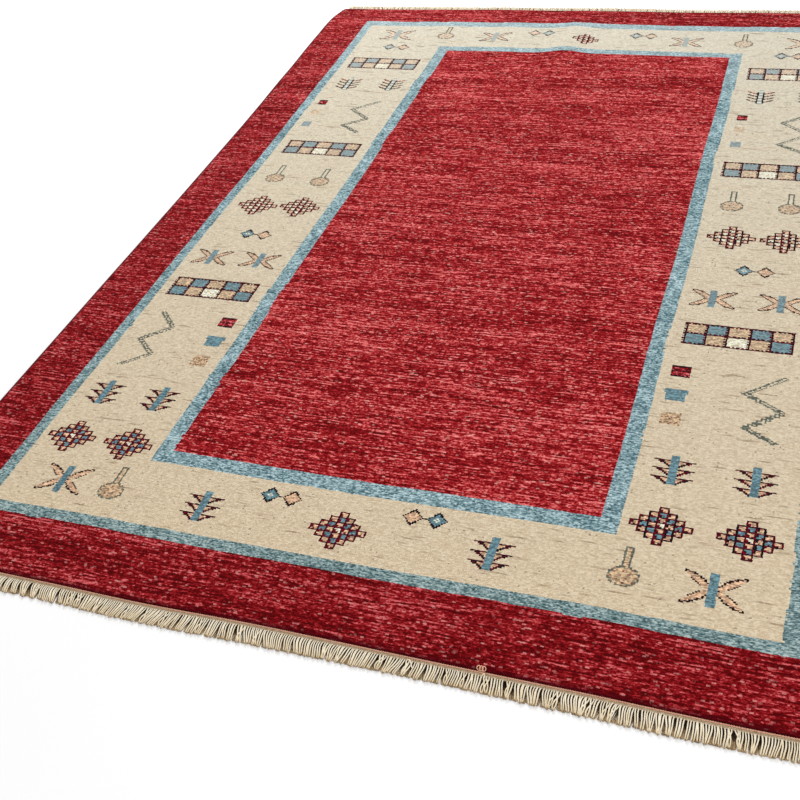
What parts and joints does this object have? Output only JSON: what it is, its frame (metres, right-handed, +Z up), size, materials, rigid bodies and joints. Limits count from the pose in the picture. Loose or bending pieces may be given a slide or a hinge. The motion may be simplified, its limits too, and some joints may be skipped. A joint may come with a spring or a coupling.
{
  "type": "handwoven pile rug",
  "caption": "Rectangular handwoven pile rug lying flat, with a soft lengthwise ripple near one end, overcast side cords, and a short warp fringe on a narrow woven band at each end.",
  "frame": {"origin": "on the floor, under the middle of the rug's whole outline with its fringes", "axes": "+X across the rug, +Y along its length towards the rippled end, +Z up from the floor"},
  "size_m": [1.7329, 2.4793, 0.0212],
  "materials": {
    "pile_wool": "matte cut wool pile, red field with blue, cream and tan borders",
    "selvedge_wool": "matte wrapped wool",
    "warp_cotton": "matte twisted warp yarn"
  },
  "bodies": {
    "root": {"pile_carpet": "pile_wool", "selvedge_left": "selvedge_wool", "selvedge_right": "selvedge_wool", "fringe_near": "warp_cotton", "fringe_far": "warp_cotton"}
  },
  "joints": []
}
